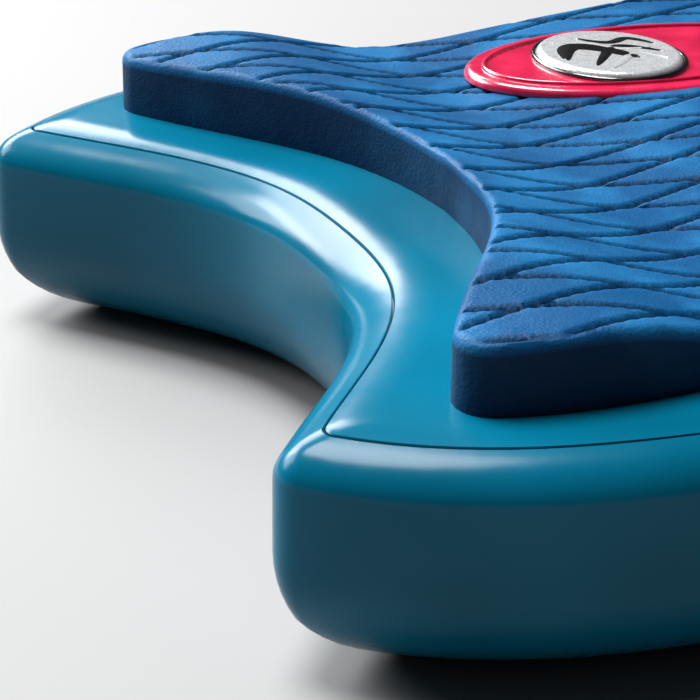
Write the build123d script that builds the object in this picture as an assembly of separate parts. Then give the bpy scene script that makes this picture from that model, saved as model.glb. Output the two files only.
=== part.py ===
from build123d import *
from math import asin, cos, degrees, radians, sin, sqrt
import os

# Kneeboard. Millimetres, +X from the swallow tail to the nose, +Y to the left side, +Z up.
# The origin is the middle of the board's footprint, on the flat bottom.

# Board plan: distances X are measured from the tips of the tail, Y from the centre line
LENGTH = 1270
HALF = LENGTH / 2
HALF_WIDTH = 257.5
NOTCH_DEPTH = 66.2
NOTCH_SHOULDER = (61.8, 42.9)
TIP_Y = 138.5
TIP_RADIUS = 11
TIP_ANGLES = (-36.4, 41.1)
SIDE_POINTS = [(60, 181.5), (183.5, 198), (343.5, 234), (490, 252)]
NOSE_POINTS = [(935, 244), (1105, 192), (1222, 100)]

# Board section
DECK_Z = 74
RIM_RADIUS = 14.5
TAIL_RIM_REACH = 26
EXTRA_FADE = 5
CHINE_RADIUS = 38
SHELL_WALL = 5
SEAM_INSET = 12.4
SEAM_GAP = 0.5
DECK_RISE_X, DECK_RISE = 200, 48
KEEL_RISE_X, KEEL_RISE = 100, 62
LEVELS = 7

# Kneeling pad
PAD_NOTCH_DEPTH = 113.4
PAD_SHOULDER = (100.8, 59.8)
PAD_TIP_Y = 141
PAD_TIP_X = 61.6
PAD_TIP_RADIUS = 11.2
PAD_TIP_ANGLES = (-27.1, 70.8)
PAD_SIDE_POINTS = [(153.5, 154), (223.5, 160), (353.5, 188.7)]
PAD_HALF_WIDTH = 215
PAD_NOSE_POINTS = [(860, 205), (950, 150)]
PAD_END = 985
PAD_PROFILE = [
    (50, 21), (75, 22.4), (98, 22), (122, 17), (148, 11.6), (200, 12.3), (260, 14), (420, 15),
    (700, 16), (860, 26), (985, 24),
]
LAMINATE = 4

# Badges on the pad
BADGE_X, BADGE_Y = 243, 93
BADGE_LENGTH, BADGE_WIDTH, BADGE_HEIGHT = 150, 84, 3.5
BADGE_SEAT = DECK_Z + 11.2
DOME_X = 226
DOME_LENGTH, DOME_WIDTH, DOME_HEIGHT = 54, 60, 3

# Thigh strap and its side pivots
STRAP_X = 60
PIVOT_Z = 45
STRAP_LOW = 100
STRAP_TOP = 252
STRAP_SHOULDER = 222
ARCH_RADIUS = 110
WEBBING_WIDTH, WEBBING = 50, 2.4
PATCH_WIDTH, PATCH_LENGTH, PATCH = 46, 100, 1.6
OVERLAP = 60
SLEEVE_WIDTH, SLEEVE = 100, 14
SLEEVE_LOW = 158
TAB_LENGTH = 32
BOLT_R, BUSH_R, BUSH_LENGTH, FIT = 4, 6, 6.3, 0.05
INSERT_R, INSERT_LENGTH = 7, 30
WASHER_R, WASHER = 12, 1.5
HEAD_R, HEAD = 9, 5
PLATE_WIDTH, PLATE_LOW, PLATE_HIGH, PLATE = 64, 30, 98, 2.5
PLATE_GAP = 3.3
SLOT_WIDTH, SLOT_HEIGHT, SLOT_Z = 54, 6, 86

# Nose fittings
HANDLE_X, HANDLE_SPAN, HANDLE_WIDTH, HANDLE_RISE = 540, 150, 26, 26
CAP_WIDTH, CAP_LENGTH, CAP = 36, 34, 4
HOOK_X, HOOK_BASE, HOOK_WIDTH = 430, 76, 54
HOOK_SCREWS = [(-30, 0), (20, 19), (20, -19)]
SCREW_R, SCREW_HEAD_R, SCREW_LENGTH = 2.5, 5, 18
NOSE_INSERT_R, NOSE_INSERT_LENGTH = 5, 24
VENT_X, VENT_Y = 400, 120
VENT_R, VENT_COLLAR_R, VENT_DEPTH = 8, 13, 14


def tail_x(from_tip):
    return from_tip - HALF


def placed(points):
    return [Vector(tail_x(x), y) for x, y in points]


def smooth(points, start, finish, even=False):
    """Spline with the given end directions; even sections of one loft share their knots."""
    gaps = [1 if even else (b - a).length for a, b in zip(points, points[1:])]
    steps = [sum(gaps[:i]) / sum(gaps) for i in range(len(points))]
    length = sum((b - a).length for a, b in zip(points, points[1:]))
    ends = [start * length, finish * length]
    return Edge.make_spline(points, tangents=ends, parameters=steps, scale=False)


class Plan:
    """Half outline of a swallow-tailed shape as three curves that meet in a sharp tip."""

    def __init__(self, notch, shoulder, tip, radius, angles, side, half_width, nose, end):
        tip = Vector(tail_x(tip[0]), tip[1])
        inner, outer = [Vector(-cos(radians(a)), sin(radians(a))) for a in angles]
        inner_dir, outer_dir = [Vector(sin(radians(a)), cos(radians(a))) for a in angles]
        opening = radians(angles[1] - angles[0]) / 2
        middle = radians(sum(angles) / 2)
        corner = tip + Vector(-cos(middle), sin(middle)) * (radius / cos(opening))
        shoulder = placed([shoulder])[0]
        bottom = Vector(tail_x(notch), 0)
        mid = Vector(0, half_width)
        self.radius = radius
        self.half_width = half_width
        inner_points = [bottom, shoulder, tip + inner * radius, corner]
        outer_points = [corner, tip + outer * radius] + placed(side) + [mid]
        nose_points = [mid] + placed(nose) + [Vector(tail_x(end), 0)]
        self.notch = smooth(inner_points, Vector(0, 1), inner_dir)
        self.side = smooth(outer_points, outer_dir, Vector(1, 0))
        self.nose = smooth(nose_points, Vector(1, 0), Vector(0, -1))

    def inset(self, edge, u, distance):
        """Point of a curve moved inwards, which is to the right of its direction."""
        tangent = edge % u
        return edge @ u + Vector(tangent.Y, -tangent.X) * distance

    def run(self, edge, start, end, distance, count, extra=0.0):
        """Evenly spaced points of a curve moved inwards; the extra fades out past its start."""
        steps = [start + (end - start) * i / count for i in range(count + 1)]
        fades = [(1 + cos(radians(180 * min(u * EXTRA_FADE, 1)))) / 2 for u in steps]
        return [self.inset(edge, u, distance + extra * f) for u, f in zip(steps, fades)]

    def tip(self, distance, radius):
        """Centre of the arc that rounds the tip, and where it meets the two curves."""
        reach = distance + radius
        low, high = 0.0, 0.6
        for _ in range(26):
            u = (low + high) / 2
            centre = self.inset(self.side, u, reach)
            if self.notch.distance_to(Vertex(*centre)) < reach:
                low = u
            else:
                high = u
        foot = self.notch.distance_to_with_closest_points(Vertex(*centre))[1]
        v = self.notch.param_at_point(foot)
        return centre, u, v

    def tail_edges(self, distance, extra=0.0, smallest=5.0):
        """Edges of the tail half, from (0, -y) round the notch to (0, +y).

        The extra inset is whole round the notch and fades out along the sides.
        """
        full = distance + extra
        radius = max(self.radius - full, smallest)
        centre, u, v = self.tip(full, radius)
        side = self.run(self.side, u, 1.0, distance, 12, extra)
        side[0] = self.inset(self.side, u, full)
        notch = self.run(self.notch, 0.0, v, full, 8)
        crown = centre + (side[0] + notch[-1] - centre * 2).normalized() * radius
        finish = self.notch % v
        half_side = smooth(side, self.side % u, Vector(1, 0), even=True)
        arc = ThreePointArc(notch[-1], crown, side[0])
        mirrored = [Vector(p.X, -p.Y) for p in reversed(notch[1:])]
        whole_notch = smooth(mirrored + notch, Vector(-finish.X, finish.Y), finish, even=True)
        return [
            half_side.mirror(Plane.XZ),
            arc.mirror(Plane.XZ),
            whole_notch,
            arc,
            half_side,
        ]

    def nose_edge(self, distance):
        nose = self.run(self.nose, 0.0, 1.0, distance, 12)
        nose[0] = Vector(0, nose[0].Y)
        nose[-1] = Vector(nose[-1].X, 0)
        mirror = [Vector(p.X, -p.Y) for p in reversed(nose[:-1])]
        return smooth(nose + mirror, Vector(1, 0), Vector(-1, 0), even=True)

    def closing_line(self, distance):
        half = self.half_width - distance
        return Line((0, half), (0, -half))

    def tail_face(self, distance, z=0, extra=0.0):
        edges = self.tail_edges(distance, extra) + [self.closing_line(distance)]
        return Pos(0, 0, z) * make_face(edges)

    def nose_face(self, distance):
        return make_face([self.nose_edge(distance), self.closing_line(distance)])

    def face(self, distance):
        return make_face(self.tail_edges(distance) + [self.nose_edge(distance)])


BOARD = Plan(
    NOTCH_DEPTH, NOTCH_SHOULDER, (TIP_RADIUS, TIP_Y), TIP_RADIUS, TIP_ANGLES,
    SIDE_POINTS, HALF_WIDTH, NOSE_POINTS, LENGTH,
)
PAD = Plan(
    PAD_NOTCH_DEPTH, PAD_SHOULDER, (PAD_TIP_X, PAD_TIP_Y), PAD_TIP_RADIUS, PAD_TIP_ANGLES,
    PAD_SIDE_POINTS, PAD_HALF_WIDTH, PAD_NOSE_POINTS, PAD_END,
)


def tail_body(wall):
    """Flat-bottomed tail half: level sections that follow the rounded rim and chine.

    Round the tail the outer rim widens from a circle to a flat ellipse.
    """
    rim = RIM_RADIUS - wall
    chine = CHINE_RADIUS - wall
    widening = 0 if wall else TAIL_RIM_REACH - RIM_RADIUS
    angles = [radians(90 * i / LEVELS) for i in range(LEVELS + 1)]
    low = [(wall + chine * (1 - sin(a)), wall + chine * (1 - cos(a)), 0) for a in angles]
    top = DECK_Z - wall - rim
    high = [
        (top + rim * sin(a), wall + rim * (1 - cos(a)), widening * (1 - cos(a))) for a in angles
    ]
    faces = [BOARD.tail_face(inset, z, extra) for z, inset, extra in low[::-1] + high]
    return loft(faces)


def rise(x, start, height):
    """Height gained at x by an arc that leaves the level at start and ends at the nose."""
    run = HALF - start
    radius = (run * run + height * height) / (2 * height)
    return radius - sqrt(radius * radius - max(x - start, 0) ** 2)


def nose_slab(wall):
    """Side profile of the nose half, between the keel and the deck, both bent upwards."""
    far = HALF + 10
    low, high = wall, DECK_Z - wall
    keel = [(x, low + rise(x, KEEL_RISE_X, KEEL_RISE)) for x in (KEEL_RISE_X, 400, far)]
    deck = [(x, high + rise(x, DECK_RISE_X, DECK_RISE)) for x in (DECK_RISE_X, 430, far)]
    profile = Plane.XZ * make_face([
        Line((0, low), keel[0]),
        ThreePointArc(*keel),
        Line(keel[-1], deck[-1]),
        ThreePointArc(*deck),
        Line(deck[0], (0, high)),
        Line((0, high), (0, low)),
    ])
    return extrude(profile, HALF_WIDTH + 10, both=True)


def nose_body(wall):
    block = extrude(BOARD.nose_face(wall), DECK_Z + 100) & nose_slab(wall)
    side = block.faces().filter_by(GeomType.EXTRUSION).sort_by(SortBy.AREA)[-1]
    loops = [e for e in side.edges() if e.bounding_box().max.X > 1]
    keel = [e for e in loops if e.bounding_box().min.Z < DECK_Z / 2]
    block = fillet(keel, CHINE_RADIUS - wall)
    side = block.faces().filter_by(GeomType.EXTRUSION).sort_by(SortBy.AREA)[-1]
    loops = [e for e in side.edges() if e.bounding_box().max.X > 1]
    rim = [e for e in loops if e.bounding_box().min.Z > DECK_Z - RIM_RADIUS]
    return fillet(rim, RIM_RADIUS - wall)


def board_body(wall):
    return Solid(tail_body(wall).solid().fuse(nose_body(wall).solid(), tol=0.02).solid().wrapped)


def lid_tool(inset):
    """Everything above the middle of the board and inside the deck seam."""
    middle = [(-HALF, 50), (200, 50), (HALF + 20, 97), (HALF + 20, 250), (-HALF, 250)]
    slab = extrude(Plane.XZ * make_face(Polyline(middle, close=True)), HALF_WIDTH, both=True)
    return extrude(BOARD.face(inset), 260) & slab


def pad_top(x):
    """Height of the pad's top surface above the flat bottom, at x from the tips."""
    return DECK_Z + rise(x - HALF, DECK_RISE_X, DECK_RISE)


def pad_slab(drop):
    """Pad material below the top surface lowered by drop."""
    top = [(tail_x(x), pad_top(x) + t - drop) for x, t in PAD_PROFILE]
    low = DECK_Z - 10
    profile = Plane.XZ * make_face([
        Spline(top),
        Line(top[-1], (top[-1][0], low)),
        Line((top[-1][0], low), (top[0][0], low)),
        Line((top[0][0], low), top[0]),
    ])
    return extrude(profile, HALF_WIDTH, both=True)


def oval(length, width, height):
    disc = extrude(Ellipse(length / 2, width / 2), height)
    return fillet(disc.edges().group_by(Axis.Z)[-1], height * 0.8)


def arch(top, low, thickness, left=None, side=Side.RIGHT):
    """Band over the thighs in the YZ plane; the left and right halves stop past the middle."""
    plate_y = HALF_WIDTH + PLATE_GAP + PLATE / 2
    lean = (plate_y - STRAP_SHOULDER) / (top - STRAP_LOW)
    foot = plate_y - lean * (low - STRAP_LOW)
    line = FilletPolyline(
        (foot, low), (STRAP_SHOULDER, top), (-STRAP_SHOULDER, top), (-foot, low),
        radius=ARCH_RADIUS,
    )
    face = make_face(offset(line, amount=thickness, side=side))
    if left is not None:
        keep = Pos(250 - OVERLAP, 150) * Rectangle(500, 600)
        face = face & (keep if left else mirror(keep, about=Plane.YZ))
    return face


def strap_band(face, width):
    """Extrudes a face drawn as (Y, Z) across the strap, centred on its place along X."""
    return Pos(STRAP_X, 0, 0) * extrude(Plane.YZ * face, width / 2, both=True)


def end_loop():
    """Folded end of the webbing round the bar at the top of its end plate."""
    low = SLOT_Z + SLOT_HEIGHT / 2
    centre = (HALF_WIDTH + PLATE_GAP + PLATE / 2, (low + PLATE_HIGH) / 2)
    width, height = PLATE + 0.6, PLATE_HIGH - low + 0.6
    outer = RectangleRounded(width + 2 * WEBBING, height + 2 * WEBBING, WEBBING)
    return Pos(*centre) * (outer - Rectangle(width, height))


def both_sides(shape):
    return Compound([shape, mirror(shape, about=Plane.XZ)])


def side_rod(radius, start, end, hole=0):
    """Rod along Y at the left pivot, from start to end outside the side of the board."""
    ring = Circle(radius) - Circle(hole) if hole else Circle(radius)
    rod = extrude(ring, end - start)
    return Pos(STRAP_X, HALF_WIDTH + start, PIVOT_Z) * Rot(-90, 0, 0) * rod


def end_plate():
    middle = (PLATE_LOW + PLATE_HIGH) / 2
    shape = Pos(0, middle) * RectangleRounded(PLATE_WIDTH, PLATE_HIGH - PLATE_LOW, 12)
    shape -= Pos(0, PIVOT_Z) * Circle(BUSH_R + FIT)
    shape -= Pos(0, SLOT_Z) * RectangleRounded(SLOT_WIDTH, SLOT_HEIGHT, 1.5)
    plate = extrude(Plane.XZ * shape, PLATE)
    return Pos(STRAP_X, HALF_WIDTH + PLATE_GAP + PLATE, 0) * plate


def side_bolt():
    shank = side_rod(BOLT_R, -INSERT_LENGTH + 6, BUSH_LENGTH + WASHER)
    head = side_rod(HEAD_R, BUSH_LENGTH + WASHER, BUSH_LENGTH + WASHER + HEAD)
    head = fillet(head.edges().sort_by(Axis.Y)[-1], 3.5)
    socket = extrude(RegularPolygon(3, 6), 3)
    socket_y = HALF_WIDTH + BUSH_LENGTH + WASHER + HEAD - 3
    return shank + head - Pos(STRAP_X, socket_y, PIVOT_Z) * Rot(-90, 0, 0) * socket


def on_nose(x, y=0):
    """Place on the deck near the nose, tilted with it."""
    slope = (rise(x + 1, DECK_RISE_X, DECK_RISE) - rise(x - 1, DECK_RISE_X, DECK_RISE)) / 2
    return Pos(x, y, DECK_Z + rise(x, DECK_RISE_X, DECK_RISE)) * Rot(0, -degrees(asin(slope)), 0)


def nose_screw(height):
    shank = Pos(0, 0, height - SCREW_LENGTH) * Cylinder(
        SCREW_R, SCREW_LENGTH, align=(Align.CENTER, Align.CENTER, Align.MIN))
    head = Pos(0, 0, height) * extrude(Circle(SCREW_HEAD_R), 2.6)
    head = fillet(head.edges().sort_by(Axis.Z)[-1], 1.8)
    socket = Pos(0, 0, height + 1) * extrude(RegularPolygon(1.8, 6), 2)
    return shank + head - socket


def nose_insert():
    shell = extrude(Circle(NOSE_INSERT_R) - Circle(SCREW_R), NOSE_INSERT_LENGTH)
    return Pos(0, 0, -NOSE_INSERT_LENGTH) * shell


def handle():
    """Carry handle: a strap that arches across the nose, flat under the two caps."""
    half = HANDLE_SPAN / 2
    line = FilletPolyline(
        (-half - CAP_LENGTH / 2, 0), (-half + CAP_LENGTH / 2, 0), (-half * 0.45, HANDLE_RISE),
        (half * 0.45, HANDLE_RISE), (half - CAP_LENGTH / 2, 0), (half + CAP_LENGTH / 2, 0),
        radius=22,
    )
    band = make_face(offset(line, amount=3.5, side=Side.LEFT))
    strip = extrude(Plane.YZ * band, HANDLE_WIDTH / 2, both=True)
    holes = Pos(0, half, -1) * extrude(Circle(SCREW_R), 8)
    return strip - holes - mirror(holes, about=Plane.XZ)


def handle_cap():
    body = extrude(RectangleRounded(CAP_WIDTH, CAP_LENGTH, 6), 3.5 + CAP)
    body = fillet(body.edges().group_by(Axis.Z)[-1], 2.5)
    groove = extrude(Rectangle(HANDLE_WIDTH + 0.4, CAP_LENGTH + 2), 3.5)
    return body - groove - extrude(Circle(SCREW_R), 12)


def tow_hook():
    """Moulded hook that opens towards the nose, on a flat base with three screws."""
    base = extrude(RectangleRounded(HOOK_BASE, HOOK_WIDTH, 12), 5)
    base = fillet(base.edges().group_by(Axis.Z)[-1], 2)
    side = Plane.XZ * make_face([
        Line((-24, 3), (10, 3)),
        TangentArc((10, 3), (10, 9), tangent=(1, 0)),
        TangentArc((10, 9), (10, 22), tangent=(-1, 0)),
        Line((10, 22), (26, 22)),
        TangentArc((26, 22), (26, 31), tangent=(1, 0)),
        Line((26, 31), (-6, 31)),
        Line((-6, 31), (-24, 3)),
    ])
    hook = extrude(side, 11, both=True)
    body = base + hook
    for x, y in HOOK_SCREWS:
        body -= Pos(x, y, 0) * extrude(Circle(SCREW_R), 8)
    return body


def vent_collar():
    flange = extrude(Circle(VENT_COLLAR_R), 2)
    sleeve = Pos(0, 0, -VENT_DEPTH) * extrude(Circle(VENT_R + 2), VENT_DEPTH)
    return flange + sleeve - Pos(0, 0, -VENT_DEPTH) * extrude(Circle(VENT_R), VENT_DEPTH + 2)


def vent_plug():
    shank = Pos(0, 0, 1 - VENT_DEPTH) * extrude(Circle(VENT_R - FIT), VENT_DEPTH + 2)
    groove = Circle(VENT_R) - Circle(VENT_R - 1.8)
    shank -= Pos(0, 0, -9) * extrude(groove, 2)
    head = Pos(0, 0, 3) * extrude(Circle(VENT_COLLAR_R - 2), 3)
    head = fillet(head.edges().group_by(Axis.Z)[-1], 1.2)
    return shank + head - Pos(0, 0, 4.4) * extrude(Rectangle(15, 2.2), 3)


def vent_ring():
    return Pos(0, 0, -8) * Torus(VENT_R - 0.95, 0.85)


def nose_screw_places():
    handle_places = [on_nose(HANDLE_X) * Pos(0, y, 0) for y in (-HANDLE_SPAN / 2, HANDLE_SPAN / 2)]
    hook_places = [on_nose(HOOK_X) * Pos(x, y, 0) for x, y in HOOK_SCREWS]
    return handle_places, hook_places


def shells(outer, core):
    """Hull, deck lid and foam, with the holes that the fittings need."""
    skin = outer - core
    handle_places, hook_places = nose_screw_places()
    inserts = [p * Pos(0, 0, -NOSE_INSERT_LENGTH) * extrude(Circle(NOSE_INSERT_R), 60)
               for p in handle_places + hook_places]
    vent = on_nose(VENT_X, VENT_Y) * Pos(0, 0, -VENT_DEPTH) * extrude(Circle(VENT_R + 2), 60)
    pivot = side_rod(INSERT_R, -INSERT_LENGTH, 10)
    hull = skin - lid_tool(SEAM_INSET - SEAM_GAP / 2) - pivot - mirror(pivot, about=Plane.XZ)
    deck = (skin & lid_tool(SEAM_INSET + SEAM_GAP / 2)) - vent
    foam = core - vent - pivot - mirror(pivot, about=Plane.XZ)
    for insert in inserts:
        deck -= insert
        foam -= insert
    return hull, deck, foam


def pad(outer):
    """Kneeling pad: a thick base and a thin top sheet, recessed under the two badges."""
    outline = extrude(PAD.face(0), 200)
    base = (outline & pad_slab(LAMINATE)) - outer
    top = (outline & pad_slab(0)) - pad_slab(LAMINATE) - outer
    plate = oval(BADGE_LENGTH, BADGE_WIDTH, BADGE_HEIGHT)
    plate = Pos(tail_x(BADGE_X), BADGE_Y, BADGE_SEAT) * plate
    dome = oval(DOME_LENGTH, DOME_WIDTH, DOME_HEIGHT)
    dome = Pos(tail_x(DOME_X), BADGE_Y, BADGE_SEAT + BADGE_HEIGHT) * dome
    top = top - plate - mirror(plate, about=Plane.XZ)
    return base, top, both_sides(plate), both_sides(dome)


def strap():
    upper = STRAP_TOP + WEBBING + 2 * PATCH
    loop = end_loop()
    left = strap_band(arch(upper, STRAP_LOW, WEBBING, left=True) + loop, WEBBING_WIDTH)
    right = arch(STRAP_TOP, STRAP_LOW, WEBBING, left=False) + mirror(loop, about=Plane.YZ)
    patch = Rectangle(PATCH_LENGTH, PATCH, align=(Align.CENTER, Align.MIN))
    tab = Pos(-OVERLAP - TAB_LENGTH / 2, upper + 1.2) * RectangleRounded(TAB_LENGTH, 6, 2)
    low = STRAP_TOP + WEBBING
    return {
        "strap_webbing_left": left,
        "strap_webbing_right": strap_band(right, WEBBING_WIDTH),
        "loop_patch": strap_band(Pos(0, low) * patch, PATCH_WIDTH),
        "hook_patch": strap_band(Pos(0, low + PATCH) * patch, PATCH_WIDTH),
        "pull_tab": strap_band(tab - arch(upper, STRAP_LOW, WEBBING, left=True), WEBBING_WIDTH + 8),
        "strap_sleeve": strap_band(
            arch(STRAP_TOP, SLEEVE_LOW, SLEEVE, side=Side.LEFT), SLEEVE_WIDTH),
        "strap_end_plates": both_sides(end_plate()),
    }


def pivots():
    return {
        "side_inserts": both_sides(side_rod(INSERT_R, -INSERT_LENGTH, 0, hole=BOLT_R)),
        "side_bushes": both_sides(side_rod(BUSH_R, 0, BUSH_LENGTH, hole=BOLT_R)),
        "side_washers": both_sides(
            side_rod(WASHER_R, BUSH_LENGTH, BUSH_LENGTH + WASHER, hole=BOLT_R)),
        "side_bolts": both_sides(side_bolt()),
    }


def nose_fittings(outer):
    handle_places, hook_places = nose_screw_places()
    places = handle_places + hook_places
    vent = on_nose(VENT_X, VENT_Y) * Pos(0, 0, 0.1)
    strip = on_nose(HANDLE_X) * handle() - outer
    return {
        "nose_inserts": Compound([p * nose_insert() for p in places]),
        "carry_handle": strip,
        "handle_caps": Compound(
            [(p * handle_cap() - outer - strip).solid() for p in handle_places]),
        "handle_screws": Compound([p * nose_screw(3.5 + CAP) for p in handle_places]),
        "tow_hook": on_nose(HOOK_X) * tow_hook() - outer,
        "tow_hook_screws": Compound([p * nose_screw(5) for p in hook_places]),
        "vent_collar": vent * vent_collar(),
        "vent_plug": vent * vent_plug(),
        "vent_ring": vent * vent_ring(),
    }


def build():
    outer = board_body(0)
    hull, deck, foam = shells(outer, board_body(SHELL_WALL))
    base, top, plates, domes = pad(outer)
    nodes = {
        "hull_shell": hull,
        "deck_shell": deck,
        "foam_core": foam,
        "pad_base": base,
        "pad_top": top,
        "badge_plates": plates,
        "badge_domes": domes,
    }
    return nodes | strap() | pivots() | nose_fittings(outer)


os.makedirs("parts", exist_ok=True)
for node, shape in build().items():
    export_step(shape, "parts/" + node + ".step")
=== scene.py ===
from math import cos, pi, radians, sin

import bmesh
import bpy
import numpy as np
from mathutils import Matrix, Vector


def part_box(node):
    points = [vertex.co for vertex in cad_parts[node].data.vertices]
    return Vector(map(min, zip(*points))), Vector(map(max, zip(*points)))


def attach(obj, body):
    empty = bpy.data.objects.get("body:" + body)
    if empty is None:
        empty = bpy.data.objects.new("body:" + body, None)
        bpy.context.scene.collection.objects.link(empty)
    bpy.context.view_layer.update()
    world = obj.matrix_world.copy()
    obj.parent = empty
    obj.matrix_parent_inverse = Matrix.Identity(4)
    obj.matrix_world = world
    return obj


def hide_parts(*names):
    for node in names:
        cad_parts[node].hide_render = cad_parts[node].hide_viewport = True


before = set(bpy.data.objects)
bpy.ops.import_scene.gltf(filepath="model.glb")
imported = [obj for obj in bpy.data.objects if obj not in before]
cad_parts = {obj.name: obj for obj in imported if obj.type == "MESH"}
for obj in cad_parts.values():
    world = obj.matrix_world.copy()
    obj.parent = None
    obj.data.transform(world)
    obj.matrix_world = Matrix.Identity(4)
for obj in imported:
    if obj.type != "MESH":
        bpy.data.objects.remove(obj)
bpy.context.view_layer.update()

bl_info = {
    "name": "Kneeboard",
    "version": (1, 0, 0),
    "blender": (4, 5, 0),
    "location": "View3D > Sidebar > Kneeboard",
    "description": "Detailed shell, kneeling pad, badges and thigh strap for the kneeboard frame",
    "category": "Add Mesh",
}

# Lengths are in metres, except the plan's, which are in mm, and those named _MM.
MM = 0.001

# Plan of the board and pad, in mm: X from the tips of the tail, Y from the centre line
HALF_MM = 635.0
DECK_MM = 74.0
BOARD_PLAN = dict(
    notch=66.2, shoulder=(61.8, 42.9), tip=(11, 138.5), radius=11, angles=(-36.4, 41.1),
    side=[(60, 181.5), (183.5, 198), (343.5, 234), (490, 252)], width=257.5,
    nose=[(935, 244), (1105, 192), (1222, 100)], end=1270,
)
PAD_PLAN = dict(
    notch=113.4, shoulder=(100.8, 59.8), tip=(61.6, 141), radius=11.2, angles=(-27.1, 70.8),
    side=[(153.5, 154), (223.5, 160), (353.5, 188.7)], width=215,
    nose=[(860, 205), (950, 150)], end=985,
)
# Thickness of the pad above the deck, in mm, at X from the tips of the tail
PAD_HEIGHTS = [
    (50, 21), (75, 22.4), (98, 22), (122, 17), (148, 11.6), (200, 12.3), (260, 14), (420, 15),
    (700, 16), (860, 26), (985, 24),
]
# The deck and keel are level up to FROM mm ahead of the middle, and gain RISE mm by the nose.
DECK_RISE_FROM, DECK_RISE = 200.0, 48.0
KEEL_RISE_FROM, KEEL_RISE = 100.0, 62.0
WALL_MM = 5.0
SEAM_MM, SEAM_GAP_MM = 12.4, 0.5
# The edges at the seam are eased over this width and depth.
EASE_MM, EASE_DEPTH_MM = 0.35, 0.3
# The tail's wider rim has faded into the narrow one at 1 / RIM_FADE of the side's length.
RIM_FADE = 5.0
SMALLEST_TIP_MM = 5.0
CHINE_RINGS, RIM_RINGS, LID_RINGS = 15, 12, 9


def linear(code):
    """Linear RGBA of an sRGB hex colour such as #1A2B3C."""
    parts = [int(code[i:i + 2], 16) / 255 for i in (1, 3, 5)]
    return [p / 12.92 if p <= 0.04045 else ((p + 0.055) / 1.055) ** 2.4 for p in parts] + [1.0]


# ---- settings

def length(name, text, value):
    """A length property in metres."""
    return bpy.props.FloatProperty(
        name=name, description=text, default=value, min=0.0, unit="LENGTH", precision=4)


def colour(name, text, code):
    """A colour property with an sRGB hex default."""
    return bpy.props.FloatVectorProperty(
        name=name, description=text, default=linear(code), size=4, min=0, max=1, subtype="COLOR")


def strength(name, text, value):
    """The strength of a light."""
    return bpy.props.FloatProperty(name=name, description=text, default=value, min=0.0)


class ShellSettings(bpy.types.PropertyGroup):
    """Sizes and colours of the moulded shell."""
    plastic: colour("Plastic", "Deep turquoise of the moulded shell", "#02627F")
    shade: colour("Shade", "Darker tone of the plastic's slow mottling", "#025068")
    rim: length("Rim radius", "Radius of the deck's rounded rim", 0.0145)
    tail_rim: length("Tail rim", "Reach of the flatter rim round the tail", 0.026)
    chine: length("Chine radius", "Radius of the rounded lower edge", 0.038)


class PadSettings(bpy.types.PropertyGroup):
    """Sizes and colours of the kneeling pad."""
    foam: colour("Foam", "Blue of the foam's top skin", "#0A436E")
    foam_light: colour("Light foam", "Lighter patches of the foam", "#1B6596")
    # Painted shade: the groove colour is shade painted into the grooves and down the pad's wall.
    groove_shade_colour: colour("Groove", "Darker foam inside the grooves", "#010818")
    diamond_length: length("Diamond length", "Spacing of the grooves along the board", 0.080)
    diamond_width: length("Diamond width", "Spacing of the grooves across the board", 0.022)
    groove: length("Groove width", "Width of one groove", 0.0038)
    depth: length("Groove depth", "Depth of one groove", 0.0021)
    edge: length("Edge radius", "Rounding of the pad's top edge", 0.003)


class BadgeSettings(bpy.types.PropertyGroup):
    """Colours of the two oval badges."""
    plate: colour("Plate", "Red of the oval plate", "#CC1A48")
    dome: colour("Dome", "Silver of the raised dome", "#E2E5E8")
    ink: colour("Ink", "Black of the wave marks", "#0B0C0E")


class StrapSettings(bpy.types.PropertyGroup):
    """Sizes and colours of the thigh strap."""
    sleeve: colour("Sleeve", "Navy of the padded sleeve", "#15324F")
    webbing: colour("Webbing", "Black of the webbing", "#131416")
    thread: colour("Thread", "Thread of the seams", "#7FB6D6")
    quilt: length("Quilting", "Spacing of the sewn channels", 0.045)
    stitch: length("Stitch", "Spacing of the stitches", 0.0055)


class StageSettings(bpy.types.PropertyGroup):
    """Strength of the studio lights."""
    key: strength("Key light", "Power in watts of the large light behind the tail", 55.0)
    back: strength("Back light", "Power in watts of the wide light beyond the board", 110.0)
    top: strength("Top light", "Strength of the even light from overhead", 5.2)
    fill: strength("Fill", "Strength of the even light from all round", 0.03)


SETTINGS = {
    "kneeboard_shell": ShellSettings,
    "kneeboard_pad": PadSettings,
    "kneeboard_badge": BadgeSettings,
    "kneeboard_strap": StrapSettings,
    "kneeboard_stage": StageSettings,
}


# ---- materials

def add(tree, kind, inputs=None, into=None, output=0, **settings):
    """Adds a node, sets its properties, and fills its inputs with values or (node, output).

    into names the shader's socket that takes the node's output of that number.
    """
    made = tree.nodes.new(kind)
    for name, value in settings.items():
        setattr(made, name, value)
    for name, value in (inputs or {}).items():
        if isinstance(value, tuple) and isinstance(value[0], bpy.types.Node):
            tree.links.new(value[0].outputs[value[1]], made.inputs[name])
        else:
            made.inputs[name].default_value = value
    if into:
        tree.links.new(made.outputs[output], tree.nodes["Principled BSDF"].inputs[into])
    return made


def new_material(name, **shader):
    """A material with constants set on its shader; returns it and its tree."""
    made = bpy.data.materials.new(name)
    made.use_nodes = True
    surface = made.node_tree.nodes["Principled BSDF"]
    for socket, value in shader.items():
        surface.inputs[socket.replace("_", " ")].default_value = value
    return made, made.node_tree


def tone(code, times, plus=0.0):
    """A lighter or darker tone of a linear colour."""
    return [min(1.0, c * times + plus) for c in code[:3]] + [1.0]


def place(tree, scale=(1, 1, 1), turn=(0, 0, 0)):
    """Object coordinates, stretched and turned."""
    where = add(tree, "ShaderNodeTexCoord")
    return add(tree, "ShaderNodeMapping",
               {"Vector": (where, "Object"), "Scale": scale, "Rotation": turn})


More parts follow.
